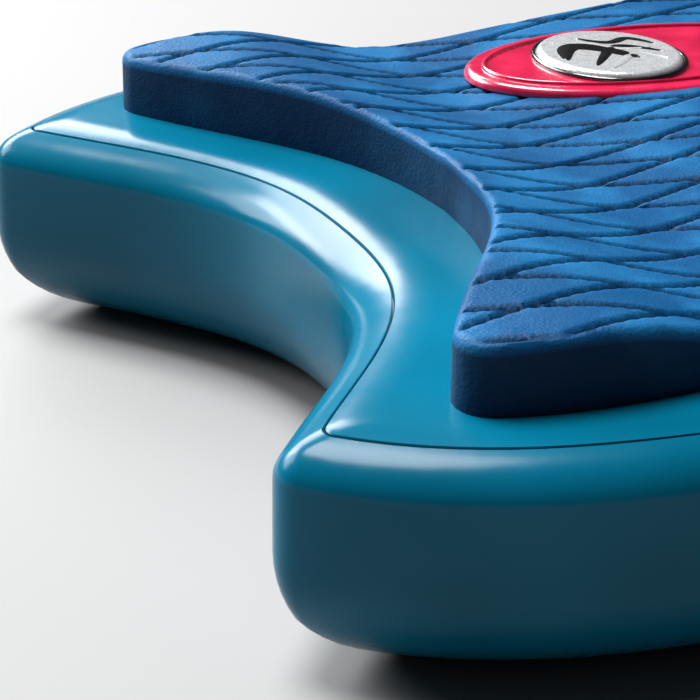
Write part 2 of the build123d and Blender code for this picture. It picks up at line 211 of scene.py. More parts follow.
def mottle(tree, dark, light, spacing, vector, detail=3.0, low=0.35, high=0.65):
    """Slow change between two colours, spaced in metres."""
    noise = add(tree, "ShaderNodeTexNoise",
                {"Vector": (vector, "Vector"), "Scale": 1 / spacing, "Detail": detail})
    ramp = add(tree, "ShaderNodeMapRange",
               {"Value": (noise, "Fac"), "From Min": low, "From Max": high})
    return add(tree, "ShaderNodeMix", {0: (ramp, "Result"), 6: dark, 7: light},
               "Base Color", 2, data_type="RGBA")


def rough(tree, spacing, vector, low, high):
    """Roughness that wanders between two values."""
    noise = add(tree, "ShaderNodeTexNoise",
                {"Vector": (vector, "Vector"), "Scale": 1 / spacing, "Detail": 5.0})
    add(tree, "ShaderNodeMapRange",
        {"Value": (noise, "Fac"), "From Min": 0.3, "From Max": 0.7,
         "To Min": low, "To Max": high}, "Roughness")


def moulded_polyethylene(settings):
    """Rotationally moulded polyethylene: even deep colour, high gloss, faint ripple and scuffs."""
    made, tree = new_material("moulded_polyethylene", IOR=1.51, Specular_IOR_Level=0.16)
    where = place(tree)
    mottle(tree, settings.shade, settings.plastic, 0.11, where, 2.0)
    rough(tree, 0.03, where, 0.15, 0.24)
    ripple = add(tree, "ShaderNodeTexNoise",
                 {"Vector": (where, "Vector"), "Scale": 1 / 0.009, "Detail": 1.0})
    waves = add(tree, "ShaderNodeBump", {"Height": (ripple, "Fac"), "Distance": 0.00006})
    # Hairline scuffs run along the board; real ones are 0.1 mm wide and drawn at 0.4 mm.
    lines = place(tree, (6, 60, 60), (0, 0, 0.05))
    scuff = add(tree, "ShaderNodeTexNoise",
                {"Vector": (lines, "Vector"), "Scale": 8.0, "Detail": 6.0, "Roughness": 0.7})
    deep = add(tree, "ShaderNodeMapRange",
               {"Value": (scuff, "Fac"), "From Min": 0.66, "From Max": 0.78,
                "To Min": 1.0, "To Max": 0.0})
    add(tree, "ShaderNodeBump",
        {"Height": (deep, "Result"), "Distance": 0.00003, "Normal": (waves, "Normal")}, "Normal")
    return made


def closed_cell_foam(settings):
    """Moulded EVA foam: satin skin with fine pores, with shade painted into the grooves and down
    the wall.
    """
    made, tree = new_material(
        "closed_cell_eva_foam", IOR=1.45, Roughness=0.5, Specular_IOR_Level=0.1)
    where = place(tree)
    mix = mottle(tree, settings.foam, settings.foam_light, 0.035, where, 4.0, 0.45, 0.75)
    # Painted shade: the groove attribute mixes the darker groove colour into the grooves and down
    # the wall.
    shade = add(tree, "ShaderNodeAttribute", attribute_name="groove")
    add(tree, "ShaderNodeMix", {0: (shade, "Fac"), 6: (mix, 2), 7: settings.groove_shade_colour},
        "Base Color", 2, data_type="RGBA")
    rough(tree, 0.012, where, 0.42, 0.56)
    # Pores are 0.3 to 0.5 mm across, and drawn at 1.1 mm so that they show.
    pores = add(tree, "ShaderNodeTexVoronoi",
                {"Vector": (where, "Vector"), "Scale": 1 / 0.0011, "Randomness": 1.0})
    pits = add(tree, "ShaderNodeBump", {"Height": (pores, "Distance"), "Distance": 0.00012})
    grain = add(tree, "ShaderNodeTexNoise",
                {"Vector": (where, "Vector"), "Scale": 1 / 0.004, "Detail": 4.0})
    add(tree, "ShaderNodeBump",
        {"Height": (grain, "Fac"), "Distance": 0.00018, "Normal": (pits, "Normal")}, "Normal")
    return made


def cast_resin(name, code):
    """Domed polyurethane resin: wet gloss over a coloured print."""
    made, tree = new_material(
        name, IOR=1.5, Coat_Weight=1.0, Coat_Roughness=0.04, Roughness=0.3)
    where = place(tree)
    mottle(tree, tone(code, 0.72), code, 0.02, where, 2.0)
    rough(tree, 0.01, where, 0.2, 0.32)
    swell = add(tree, "ShaderNodeTexNoise",
                {"Vector": (where, "Vector"), "Scale": 1 / 0.014, "Detail": 0.0})
    add(tree, "ShaderNodeBump", {"Height": (swell, "Fac"), "Distance": 0.00012}, "Normal")
    return made


def flake_silver(code):
    """Silver paint under clear resin: fine aluminium flakes 0.2 mm across, drawn at 0.7 mm."""
    made, tree = new_material(
        "silver_flake_resin", Metallic=0.45, Coat_Weight=0.8, Coat_Roughness=0.05)
    where = place(tree)
    cells = add(tree, "ShaderNodeTexVoronoi", {"Vector": (where, "Vector"), "Scale": 1 / 0.0007})
    ramp = add(tree, "ShaderNodeMapRange", {"Value": (cells, "Distance"), "From Max": 0.8})
    add(tree, "ShaderNodeMix", {0: (ramp, "Result"), 6: code, 7: tone(code, 0.62)},
        "Base Color", 2, data_type="RGBA")
    rough(tree, 0.004, where, 0.24, 0.36)
    add(tree, "ShaderNodeBump", {"Height": (cells, "Distance"), "Distance": 0.00002}, "Normal")
    return made


def woven_polyester(name, code, across=0.0022, along=0.0016):
    """Flat woven webbing: warp cords across the width and picks along the length."""
    made, tree = new_material(
        name, Roughness=0.78, Specular_IOR_Level=0.3, Sheen_Weight=0.3, Sheen_Roughness=0.4)
    warp = place(tree)
    cords = add(tree, "ShaderNodeTexWave",
                {"Vector": (warp, "Vector"), "Scale": 0.314 / across, "Distortion": 0.3},
                wave_type="BANDS", bands_direction="X")
    slant = place(tree, (0, 1, 1))
    picks = add(tree, "ShaderNodeTexWave",
                {"Vector": (slant, "Vector"), "Scale": 0.222 / along, "Distortion": 0.4},
                wave_type="BANDS", bands_direction="DIAGONAL")
    both = add(tree, "ShaderNodeMath",
               {0: (cords, "Fac"), 1: (picks, "Fac")}, operation="MULTIPLY")
    add(tree, "ShaderNodeMix", {0: (both, "Value"), 6: code, 7: tone(code, 2.4, 0.01)},
        "Base Color", 2, data_type="RGBA")
    rough(tree, 0.006, warp, 0.68, 0.85)
    add(tree, "ShaderNodeBump", {"Height": (both, "Value"), "Distance": 0.0003}, "Normal")
    return made


def knitted_cover(name, code):
    """Knitted nylon over neoprene: small rows of loops, 1.2 mm apart and drawn at 2 mm."""
    made, tree = new_material(
        name, Roughness=0.85, Specular_IOR_Level=0.25, Sheen_Weight=0.5, Sheen_Roughness=0.35)
    chart = add(tree, "ShaderNodeUVMap", uv_map="surface")
    rows = add(tree, "ShaderNodeMapping", {"Vector": (chart, "UV"), "Scale": (500, 500, 1)})
    loops = add(tree, "ShaderNodeTexVoronoi",
                {"Vector": (rows, "Vector"), "Scale": 1.0, "Randomness": 0.25})
    add(tree, "ShaderNodeMix", {0: (loops, "Distance"), 6: tone(code, 1.8, 0.01), 7: code},
        "Base Color", 2, data_type="RGBA")
    rough(tree, 0.01, place(tree), 0.75, 0.92)
    add(tree, "ShaderNodeBump", {"Height": (loops, "Distance"), "Distance": 0.00025}, "Normal")
    return made


def hook_and_loop(name, code, spacing):
    """Hook-and-loop tape: a pile of small bristles in close rows."""
    made, tree = new_material(name, Roughness=0.9, Specular_IOR_Level=0.2, Sheen_Weight=0.4)
    where = place(tree)
    pile = add(tree, "ShaderNodeTexVoronoi",
               {"Vector": (where, "Vector"), "Scale": 1 / spacing, "Randomness": 0.6})
    add(tree, "ShaderNodeMix", {0: (pile, "Distance"), 6: tone(code, 2, 0.015), 7: code},
        "Base Color", 2, data_type="RGBA")
    add(tree, "ShaderNodeBump", {"Height": (pile, "Distance"), "Distance": 0.0005}, "Normal")
    return made


def brushed_metal(name, code, stretch, low=0.22, high=0.38):
    """Brushed or turned metal: fine parallel lines 0.1 mm apart, drawn at 0.5 mm."""
    made, tree = new_material(name, Metallic=1.0)
    where = place(tree, stretch)
    mottle(tree, tone(code, 0.7), code, 0.0025, where, 5.0)
    rough(tree, 0.0025, where, low, high)
    lines = add(tree, "ShaderNodeTexNoise",
                {"Vector": (where, "Vector"), "Scale": 1 / 0.0025, "Detail": 4.0})
    add(tree, "ShaderNodeBump", {"Height": (lines, "Fac"), "Distance": 0.00003}, "Normal")
    return made


def grained_plastic(name, code, grain=0.0008, low=0.42, high=0.6):
    """Moulded plastic or rubber: satin, with the fine spark-eroded grain of its mould."""
    made, tree = new_material(name, IOR=1.53, Specular_IOR_Level=0.45)
    where = place(tree)
    mottle(tree, code, tone(code, 1.5, 0.006), 0.008, where, 4.0)
    rough(tree, 0.005, where, low, high)
    pits = add(tree, "ShaderNodeTexNoise",
               {"Vector": (where, "Vector"), "Scale": 1 / grain, "Detail": 2.0})
    add(tree, "ShaderNodeBump", {"Height": (pits, "Fac"), "Distance": 0.00008}, "Normal")
    return made


def studio_floor():
    """Seamless pale paper: matt and even."""
    made, tree = new_material("studio_paper", Roughness=0.65, Specular_IOR_Level=0.15)
    mottle(tree, linear("#8E8E8E"), linear("#929292"), 0.6, place(tree))
    return made


# ---- plan of the board

def clamped(points, start, finish):
    """Cubic spline through points with set end directions; gives points and directions."""
    p = np.array(points, float)
    gaps = np.linalg.norm(np.diff(p, axis=0), axis=1)
    t = np.concatenate([[0], np.cumsum(gaps) / gaps.sum()])
    h = np.diff(t)
    count = len(t)
    matrix = np.eye(count)
    known = np.zeros((count, 2))
    known[0] = np.array(start, float) * gaps.sum()
    known[-1] = np.array(finish, float) * gaps.sum()
    for i in range(1, count - 1):
        before, after = h[i - 1], h[i]
        matrix[i, i - 1:i + 2] = after, 2 * (after + before), before
        known[i] = 3 * (before / after * (p[i + 1] - p[i]) + after / before * (p[i] - p[i - 1]))
    slope = np.linalg.solve(matrix, known)

    def at(u):
        u = np.clip(np.atleast_1d(u).astype(float), 0, 1)
        k = np.clip(np.searchsorted(t, u, side="right") - 1, 0, count - 2)
        step = h[k][:, None]
        s = ((u - t[k]) / h[k])[:, None]
        a, b, c, d = p[k], p[k + 1], slope[k] * step, slope[k + 1] * step
        spot = ((2 * s**3 - 3 * s**2 + 1) * a + (s**3 - 2 * s**2 + s) * c
                + (3 * s**2 - 2 * s**3) * b + (s**3 - s**2) * d)
        way = ((6 * s**2 - 6 * s) * (a - b) + (3 * s**2 - 4 * s + 1) * c
               + (3 * s**2 - 2 * s) * d)
        return spot, way / np.linalg.norm(way, axis=1)[:, None]
    return at


def inset(curve, u, distance):
    """Points of a curve moved to the right of its direction, which is inwards."""
    spot, way = curve(u)
    move = np.atleast_1d(distance)[:, None]
    return spot + np.stack([way[:, 1], -way[:, 0]], 1) * move


class Plan:
    """Half outline of a swallow-tailed shape: notch, side and nose curves and a rounded tip."""

    def __init__(self, notch, shoulder, tip, radius, angles, side, width, nose, end):
        def shift(points):
            return [np.array([x - HALF_MM, y]) for x, y in points]
        tip = shift([tip])[0]
        inner, outer = [np.array([-cos(radians(a)), sin(radians(a))]) for a in angles]
        inner_way, outer_way = [(sin(radians(a)), cos(radians(a))) for a in angles]
        opening = radians(angles[1] - angles[0]) / 2
        middle = radians(sum(angles) / 2)
        corner = tip + np.array([-cos(middle), sin(middle)]) * radius / cos(opening)
        bottom, waist = np.array([notch - HALF_MM, 0]), np.array([0, width])
        self.radius = radius
        self.notch = clamped(
            [bottom] + shift([shoulder]) + [tip + inner * radius, corner], (0, 1), inner_way)
        self.side = clamped(
            [corner, tip + outer * radius] + shift(side) + [waist], outer_way, (1, 0))
        self.nose = clamped(
            [waist] + shift(nose) + [np.array([end - HALF_MM, 0])], (1, 0), (0, -1))

    def half(self, wide, narrow=None, counts=(36, 8, 76, 84)):
        """Points of the +Y half from notch to nose, and how far each shares the tail's inset.

        wide is the inset round the notch and tip, narrow the inset of the sides and nose.
        """
        narrow = wide if narrow is None else narrow
        radius = max(self.radius - wide, SMALLEST_TIP_MM)
        fine = np.linspace(0, 1, 3000)
        line = self.notch(fine)[0]
        # The tip's arc starts on the side where a circle touches both the side and the notch.
        low, high = 0.0, 0.6
        for _ in range(26):
            u = (low + high) / 2
            centre = inset(self.side, u, wide + radius)[0]
            gaps = np.linalg.norm(line - centre, axis=1)
            low, high = (u, high) if gaps.min() < wide + radius else (low, u)
        v = fine[gaps.argmin()]
        notch = inset(self.notch, np.linspace(0, v, counts[0]), wide)
        steps = u + (1 - u) * np.linspace(0, 1, counts[2])
        fade = (1 + np.cos(pi * np.clip((steps - u) * RIM_FADE, 0, 1))) / 2
        side = inset(self.side, steps, narrow + (wide - narrow) * fade)
        ends = [np.arctan2(*(q - centre)[::-1]) for q in (notch[-1], side[0])]
        turn = (ends[1] - ends[0] + pi) % (2 * pi) - pi
        bow = ends[0] + turn * np.linspace(0, 1, counts[1] + 2)[1:-1]
        arc = centre + radius * np.stack([np.cos(bow), np.sin(bow)], 1)
        nose = inset(self.nose, np.linspace(0, 1, counts[3])[1:], narrow)
        points = np.concatenate([notch, arc, side, nose])
        share = np.concatenate([np.ones(len(notch) + len(arc)), fade, np.zeros(len(nose))])
        points[0, 1] = points[-1, 1] = 0
        return points, share


def rise(x, start, height):
    """Height gained at x by an arc that leaves the level at start and ends at the nose."""
    run = HALF_MM - start
    radius = (run * run + height * height) / (2 * height)
    return radius - np.sqrt(radius * radius - np.maximum(x - start, 0) ** 2)


def deck_height(x):
    """Height in mm of the deck at x in mm."""
    return DECK_MM + rise(x, DECK_RISE_FROM, DECK_RISE)


def whole(half):
    """Closed ring of a half outline: out along +Y and back along -Y, first point repeated."""
    back = half[-2::-1] * np.array([1, -1, 1])
    return np.concatenate([half, back])


# ---- modelling helpers

def begin():
    """Leaves edit mode and deselects everything."""
    if bpy.context.object and bpy.context.object.mode != "OBJECT":
        bpy.ops.object.mode_set(mode="OBJECT")
    bpy.ops.object.select_all(action="DESELECT")


def activate(made):
    """Selects one object and makes it the active one."""
    begin()
    made.select_set(True)
    bpy.context.view_layer.objects.active = made


def edit(made, action):
    """Opens an object in edit mode with all of its vertices selected or none."""
    activate(made)
    bpy.ops.object.mode_set(mode="EDIT")
    bpy.ops.mesh.select_mode(type="VERT")
    bpy.ops.mesh.select_all(action=action)


def grid(name, points, close=False):
    """Grid primitive of rows and columns of points in metres; close joins its first columns."""
    begin()
    rows, columns = points.shape[:2]
    bpy.ops.mesh.primitive_grid_add(x_subdivisions=columns - 1, y_subdivisions=rows - 1, size=1)
    made = bpy.context.object
    made.name = made.data.name = name
    if len(made.data.vertices) != rows * columns:
        raise RuntimeError("the grid primitive has another size than its points")
    made.data.vertices.foreach_set("co", points.reshape(-1).astype(np.float32))
    made.data.update()
    if close:
        edit(made, "SELECT")
        bpy.ops.mesh.remove_doubles(threshold=1e-6)
        bpy.ops.object.mode_set(mode="OBJECT")
    return made


def join(name, objects):
    """Joins objects into one mesh."""
    begin()
    for o in objects:
        o.select_set(True)
    bpy.context.view_layer.objects.active = objects[0]
    if len(objects) > 1:
        bpy.ops.object.join()
    made = bpy.context.object
    made.name = made.data.name = name
    return made


def mirrored(source):
    """Copy on the other side of the board's middle plane."""
    made = source.copy()
    made.data = source.data.copy()
    bpy.context.scene.collection.objects.link(made)
    made.data.transform(Matrix.Diagonal((1, -1, 1, 1)))
    made.data.flip_normals()
    return made


def tidy(made, angle=40.0, doubles=1e-6, outward=True):
    """Merges doubles, points faces outwards and smooths all but the sharp edges."""
    edit(made, "SELECT")
    if doubles:
        bpy.ops.mesh.remove_doubles(threshold=doubles)
    if outward:
        bpy.ops.mesh.normals_make_consistent(inside=False)
    bpy.ops.mesh.select_all(action="DESELECT")
    bpy.ops.object.mode_set(mode="OBJECT")
    bpy.ops.object.transform_apply(location=True, rotation=True, scale=True)
    bpy.ops.object.shade_smooth_by_angle(angle=radians(angle))
    return made


def modify(made, kind, **settings):
    """Adds one modifier and applies it."""
    activate(made)
    bpy.ops.object.modifier_add(type=kind)
    modifier = made.modifiers[-1]
    for name, value in settings.items():
        setattr(modifier, name, value)
    bpy.ops.object.modifier_apply(modifier=modifier.name)
    return made


def fill_flat(made, test):
    """Fills the one loop of vertices that passes the test with a single face."""
    edit(made, "DESELECT")
    shape = bmesh.from_edit_mesh(made.data)
    for vertex in shape.verts:
        vertex.select_set(bool(test(vertex)))
    shape.select_flush_mode()
    bmesh.update_edit_mesh(made.data)
    bpy.ops.mesh.edge_face_add()
    bpy.ops.mesh.select_all(action="DESELECT")
    bpy.ops.object.mode_set(mode="OBJECT")


def finish_piece(made, body, slot, material, *replaced):
    """Gives a piece its material and body, and hides the frame nodes that it stands for."""
    made.data.materials.clear()
    made.data.materials.append(material)
    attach(made, body)
    if replaced:
        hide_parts(*replaced)
    return made


def coat(material, *nodes):
    """Gives frame nodes a material."""
    for name in nodes:
        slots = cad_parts[name].data.materials
        slots.clear()
        slots.append(material)


# ---- shell

class Skin:
    """Rings of the shell's rim, side and chine: its outside, or its inside a wall in."""

    def __init__(self, settings, wall):
        self.plan = Plan(**BOARD_PLAN)
        self.wall = wall
        self.rim = settings.rim / MM - wall
        self.tail_rim = (settings.tail_rim / MM if not wall else settings.rim / MM) - wall
        self.chine = settings.chine / MM - wall

    def top(self, wide, narrow, sink=0.0):
        """Ring on the rim or deck at the given insets from the outline."""
        points, share = self.plan.half(wide, narrow)
        reach = self.rim + (self.tail_rim - self.rim) * share
        gone = narrow + (wide - narrow) * share - self.wall
        turn = np.arccos(np.clip(1 - gone / reach, 0, 1))
        z = deck_height(points[:, 0]) - self.wall - self.rim * (1 - np.sin(turn)) - sink
        return whole(np.c_[points, z]) * MM

    def low(self, turn):
        """Ring on the chine, from 0 at the side to a right angle on the keel."""
        points, _ = self.plan.half(self.wall + self.chine * (1 - cos(turn)))
        z = rise(points[:, 0], KEEL_RISE_FROM, KEEL_RISE) + self.wall
        return whole(np.c_[points, z + self.chine * (1 - sin(turn))]) * MM

    def side(self, finish):
        """Rings from the keel up to the rim inset finish."""
        rings = [self.low(t) for t in np.linspace(pi / 2, 0, CHINE_RINGS)]
        for t in np.linspace(0, 1, RIM_RINGS):
            gone = self.wall + (finish - self.wall) * (1 - cos(t * pi / 2))
            rings.append(self.top(gone, gone))
        return rings


def cap_rows(ring):
    """Rungs that close the nose half of a ring straight across the board."""
    left = ring[:(len(ring) + 1) // 2]
    left = left[left[:, 0] > -1e-9]
    return np.stack([left, left * np.array([1, -1, 1])])


def closed_shell(name, rings, ends):
    """Body through rings, with both end rings closed across."""
    parts = [grid(name, np.stack(rings), close=True)]
    for ring in ends:
        parts.append(grid("cap", cap_rows(ring)))
    made = join(name, parts)
    tidy(made, outward=False)
    for ring in ends:
        tail = {tuple(np.round(q, 5)) for q in ring if q[0] < 1e-6}
        fill_flat(made, lambda v: tuple(np.round(v.co, 5)) in tail)
    return tidy(made, angle=35)


class KNEEBOARD_OT_shell(bpy.types.Operator):
    """Build the moulded hull and deck lid with their rounded rim and seam"""
    bl_idname = "kneeboard.shell"
    bl_label = "Shell"

    def execute(self, context):
        settings = context.scene.kneeboard_shell
        plastic = moulded_polyethylene(settings)
        outer, inner = Skin(settings, 0.0), Skin(settings, WALL_MM)
        edge = SEAM_MM - SEAM_GAP_MM / 2
        rings = outer.side(edge - EASE_MM)
        rings += [outer.top(edge, edge, EASE_DEPTH_MM)]
        rings += [inner.top(edge, edge)] + inner.side(edge)[-2::-1]
        hull = closed_shell("hull", rings, [rings[0], rings[-1]])
        finish_piece(hull, "board", "hull_shell", plastic, "hull_shell")
        edge = SEAM_MM + SEAM_GAP_MM / 2
        wide, narrow = settings.tail_rim / MM, settings.rim / MM
        rings = [outer.top(edge, edge, EASE_DEPTH_MM)]
        for t in np.linspace(0.02, 1, LID_RINGS):
            rings.append(outer.top(edge + (wide - edge) * t, edge + (narrow - edge) * t))
        under = [inner.top(edge + (wide - edge) * t, edge + (narrow - edge) * t) for t in (1, 0)]
        deck = closed_shell("deck", under + rings, [under[0], rings[-1]])
        finish_piece(deck, "board", "deck_shell", plastic, "deck_shell")
        return {"FINISHED"}


# ---- kneeling pad

# Spacing in mm of the pad's mesh: FINE across it and along its tail, COARSE along the rest
FINE_MM, COARSE_MM, COARSE_FROM_MM, COARSE_TO_MM = 1.3, 3.4, -250, 345
PAD_HALF_MM = 220
# Insets of the rows that follow the edge; where the pad is narrower than SQUEEZE they close up.
EDGE_ROWS_MM = np.array([0, 0.5, 1.2, 2.2, 3.4])
SQUEEZE_MM = 12
# The grooves sway to each side by this much.
SWAY_MM = 1.3
# Painted shade: over LIP below its top edge, the wall's colour is darkened to a share of the
# grooves' shade colour, given beside LIP.
LIP, PAINTED_WALL_SHADE = 0.0042, 0.6


def pad_height(x):
    """Height in mm of the pad's top surface at x in mm."""
    knots = np.array([(k - HALF_MM, t) for k, t in PAD_HEIGHTS], float)
    ends = [(knots[1] - knots[0]), (knots[-1] - knots[-2])]
    line = clamped(knots, *[e / np.linalg.norm(e) for e in ends])(np.linspace(0, 1, 800))[0]
    return deck_height(x) + np.interp(x, line[:, 0], line[:, 1])


def pad_half_points():
    """Rows and columns of X and Y in mm that fill the pad's +Y half and follow its outline."""
    outline, _ = Plan(**PAD_PLAN).half(0.0, counts=(60, 12, 160, 150))
    first = outline[:, 0].argmin()
    inner, outer = outline[:first + 1][::-1], outline[first:]
    near = inner[:, 0]
    nose = outer[outer[:, 0] > outer[-1, 0] - 30, 0]
    tip = outer[outer[:, 0] < outer[0, 0] + 10, 0]
    even = np.concatenate([
        np.arange(outer[0, 0] + 4, COARSE_FROM_MM, FINE_MM),
        np.arange(COARSE_FROM_MM, COARSE_TO_MM, COARSE_MM)])
    stations = np.sort(np.concatenate(
        [near, inner[-1, 0] + EDGE_ROWS_MM, nose, tip, even, [outer[-1, 0]]]))
    keep = np.concatenate([[True], np.diff(stations) > 0.25])
    stations = stations[keep]
    stations[-1] = outer[-1, 0]
    low = np.interp(stations, inner[:, 0], inner[:, 1])
    low[stations > inner[-1, 0]] = 0
    high = np.interp(stations, outer[:, 0], outer[:, 1])
    high[-1] = 0
    level = np.arange(0, PAD_HALF_MM, FINE_MM)
    rows = []
    for a, b in zip(low, high):
        edges = EDGE_ROWS_MM * min(1.0, (b - a) / SQUEEZE_MM)
        middle = np.clip(level, a + edges[-1], b - edges[-1])
        rows.append(np.concatenate([a + edges[:-1], middle, (b - edges[:-1])[::-1]]))
    y = np.array(rows)
    x = np.repeat(stations[:, None], y.shape[1], 1)
    return x, y, outline


def edge_distance(x, y, outline):
    """Distance in mm from points to the outline and its mirror image."""
    path = np.concatenate([outline, outline[::-1] * np.array([1, -1])])
    starts, steps = path[:-1], np.diff(path, axis=0)
    sizes = np.maximum((steps ** 2).sum(1), 1e-12)
    flat = np.c_[x.ravel(), y.ravel()]
    found = np.full(len(flat), 1e9)
    for start, step, size in zip(starts, steps, sizes):
        along = np.clip(((flat - start) @ step) / size, 0, 1)
        gap = ((flat - start - along[:, None] * step) ** 2).sum(1)
        found = np.minimum(found, gap)
    return np.sqrt(found).reshape(x.shape)


def groove_share(x, y, settings):
    """How deep a point lies in the crossing diamond grooves, from 0 to 1."""
    long, wide = settings.diamond_length / MM, settings.diamond_width / MM
    waves = y + SWAY_MM * np.sin(2 * pi * x / (long * 2))
    slope = np.hypot(1 / long, 1 / wide)
    share = np.zeros_like(x)
    for sign in (1, -1):
        place_in = waves / wide + sign * x / long
        away = np.abs(place_in - np.round(place_in)) / slope
        t = np.clip(1 - away / (settings.groove / MM / 2), 0, 1)
        share = np.maximum(share, t * t * (3 - 2 * t))
    return share


class KNEEBOARD_OT_pad(bpy.types.Operator):
    """Build the grooved foam kneeling pad"""
    bl_idname = "kneeboard.pad"
    bl_label = "Kneeling pad"

    def execute(self, context):
        settings = context.scene.kneeboard_pad
        x, y, outline = pad_half_points()
        round_mm = settings.edge / MM
        gap = edge_distance(x, y, outline)
        inside = np.clip(gap / round_mm - 0.25, 0, 1)
        share = groove_share(x, y, settings) * inside
        gap = np.clip(gap, 0, round_mm)
        drop = round_mm - np.sqrt(round_mm ** 2 - (round_mm - gap) ** 2)
        z = pad_height(x) - drop - share * settings.depth / MM
        made = grid("kneeling_pad", np.stack([x, y, z], 2) * MM)
        # The groove attribute carries painted shade: each point's groove depth share, and on the
        # wall a fixed share.
        groove = made.data.attributes.new("groove", "FLOAT", "POINT")
        groove.data.foreach_set("value", share.ravel().astype(np.float32))
        modify(made, "MIRROR", use_axis=(False, True, False), merge_threshold=1e-6)
        edit(made, "SELECT")
        bpy.ops.mesh.remove_doubles(threshold=2e-6)
        bpy.ops.mesh.select_all(action="DESELECT")
        bpy.ops.mesh.select_non_manifold(extend=False, use_wire=False, use_multi_face=False,
                                         use_non_contiguous=False, use_verts=False)
        self.lower(lambda x: float(pad_height(np.array([x]))[0]) * MM - LIP)
        self.lower(lambda x: float(deck_height(np.array(x))) * MM)
        bpy.ops.mesh.edge_face_add()
        bpy.ops.object.mode_set(mode="OBJECT")
        tidy(made, angle=50, doubles=0)
        finish_piece(made, "board", "pad_top", closed_cell_foam(settings), "pad_top", "pad_base")
        return {"FINISHED"}

    def lower(self, height):
        """Extrudes the selected edge down to a height in metres given for X in mm, and paints the
        wall's shade on its new vertices.
        """
        bpy.ops.mesh.extrude_edges_move()
        mesh = bpy.context.object.data
        shape = bmesh.from_edit_mesh(mesh)
        for vertex in shape.verts:
            if vertex.select:
                vertex.co.z = height(vertex.co.x / MM)
                # Painted shade: the new wall vertices take a share of the groove colour.
                vertex[shape.verts.layers.float["groove"]] = PAINTED_WALL_SHADE
        bmesh.update_edit_mesh(mesh)


# ---- badges

BEAD_INSET, BEAD_RADIUS = 0.0075, 0.0011
BEZEL_GAP, BEZEL_RADIUS = 0.0008, 0.0012
# Depth of the bezel's middle below the dome's top, as a share of the dome's height
BEZEL_DEPTH = 0.86
# The marks' height above the dome's top, their crown and their thickness
MARK_LIFT, MARK_CROWN, MARK_THICK = 0.0001, 0.00025, 0.0005


def badge_centre(node):
    """Middle and half sizes of the +Y badge part of a frame node."""
    low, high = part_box(node)
    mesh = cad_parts[node].data
    near = min(v.co.y for v in mesh.vertices if v.co.y > 0)
    middle = Vector(((low.x + high.x) / 2, (near + high.y) / 2, high.z))
    return middle, Vector(((high.x - low.x) / 2, (high.y - near) / 2, high.z - low.z))


def bead(name, middle, half, radius):
    """Raised oval bead round a badge."""
    begin()
    bpy.ops.mesh.primitive_torus_add(
        location=middle, major_radius=half.x, minor_radius=radius,
        major_segments=128, minor_segments=12)
    made = bpy.context.object
    made.name = name
    made.scale = (1, half.y / half.x, 1)
    return tidy(made)


def swoosh(name, middle, spine, thickness):
    """Flat raised stroke that tapers at both ends, along points given across the dome."""
    path = clamped([np.array(p) for p in spine], np.subtract(spine[1], spine[0]),
                   np.subtract(spine[-1], spine[-2]))
    t = np.linspace(0.0, 1.0, 33)
    spot, way = path(t)
    normal = np.stack([-way[:, 1], way[:, 0]], 1)
    width = thickness * np.sin(pi * np.clip(t, 0.01, 0.99)) ** 0.8
    rows = []
    for side in np.linspace(-1, 1, 5):
        flat = spot + normal * (width * side / 2)[:, None]
        z = np.full(len(t), MARK_LIFT) + MARK_CROWN * (1 - side * side)
        rows.append(np.c_[flat + np.array([middle.x, middle.y]), z + middle.z])
    made = grid(name, np.array(rows))
    modify(made, "SOLIDIFY", thickness=MARK_THICK, offset=-1.0)
    return tidy(made)


# Points across the dome and the greatest width of each stroke
DARK_WAVES = [
    ([(-0.021, -0.006), (-0.012, 0.009), (-0.002, 0.004), (0.006, -0.012)], 0.0085),
    ([(-0.014, -0.016), (-0.004, -0.004), (0.008, 0.004), (0.019, -0.008)], 0.0045),
    ([(-0.004, 0.019), (0.006, 0.010), (0.014, 0.013), (0.021, 0.002)], 0.0042),
]
PALE_WAVES = [
    ([(-0.010, -0.021), (0.000, -0.012), (0.010, -0.006), (0.016, -0.016)], 0.0036),
    ([(-0.016, 0.016), (-0.004, 0.013), (0.006, 0.001), (0.017, -0.001)], 0.0034),
]


class KNEEBOARD_OT_badges(bpy.types.Operator):
    """Finish the two oval badges with their beads and abstract wave marks"""
    bl_idname = "kneeboard.badges"
    bl_label = "Badges"

    def execute(self, context):
        settings = context.scene.kneeboard_badge
        red = cast_resin("red_cast_resin", list(settings.plate))
        ink = cast_resin("black_cast_resin", list(settings.ink))
        silver = flake_silver(list(settings.dome))
        coat(red, "badge_plates")
        coat(silver, "badge_domes")
        middle, half = badge_centre("badge_plates")
        inner = Vector((half.x - BEAD_INSET, half.y - BEAD_INSET, 0))
        ring = bead("badge_beads", middle, inner, BEAD_RADIUS)
        finish_piece(join("badge_beads", [ring, mirrored(ring)]), "board", "badge_plates", red)
        top, size = badge_centre("badge_domes")
        foot = top - Vector((0, 0, size.z * BEZEL_DEPTH))
        ring = bead("dome_bezels", foot, size + Vector((BEZEL_GAP, BEZEL_GAP, 0)), BEZEL_RADIUS)
        finish_piece(join("dome_bezels", [ring, mirrored(ring)]), "board", "badge_domes", ink)
        marks = (("dark_waves", DARK_WAVES, ink), ("pale_waves", PALE_WAVES, silver))
        for name, waves, material in marks:
            strokes = [swoosh(name, top, spine, width) for spine, width in waves]
            strokes += [mirrored(s) for s in strokes]
            finish_piece(join(name, strokes), "board", "badge_domes", material)
        return {"FINISHED"}


# ---- thigh strap

STRAP_X = 0.060
STRAP_TOP, STRAP_LOW, STRAP_SHOULDER, ARCH_RADIUS = 0.252, 0.100, 0.222, 0.110
# Top of the +Y band, which lies over the other one and the two tapes
UPPER_TOP = 0.2576
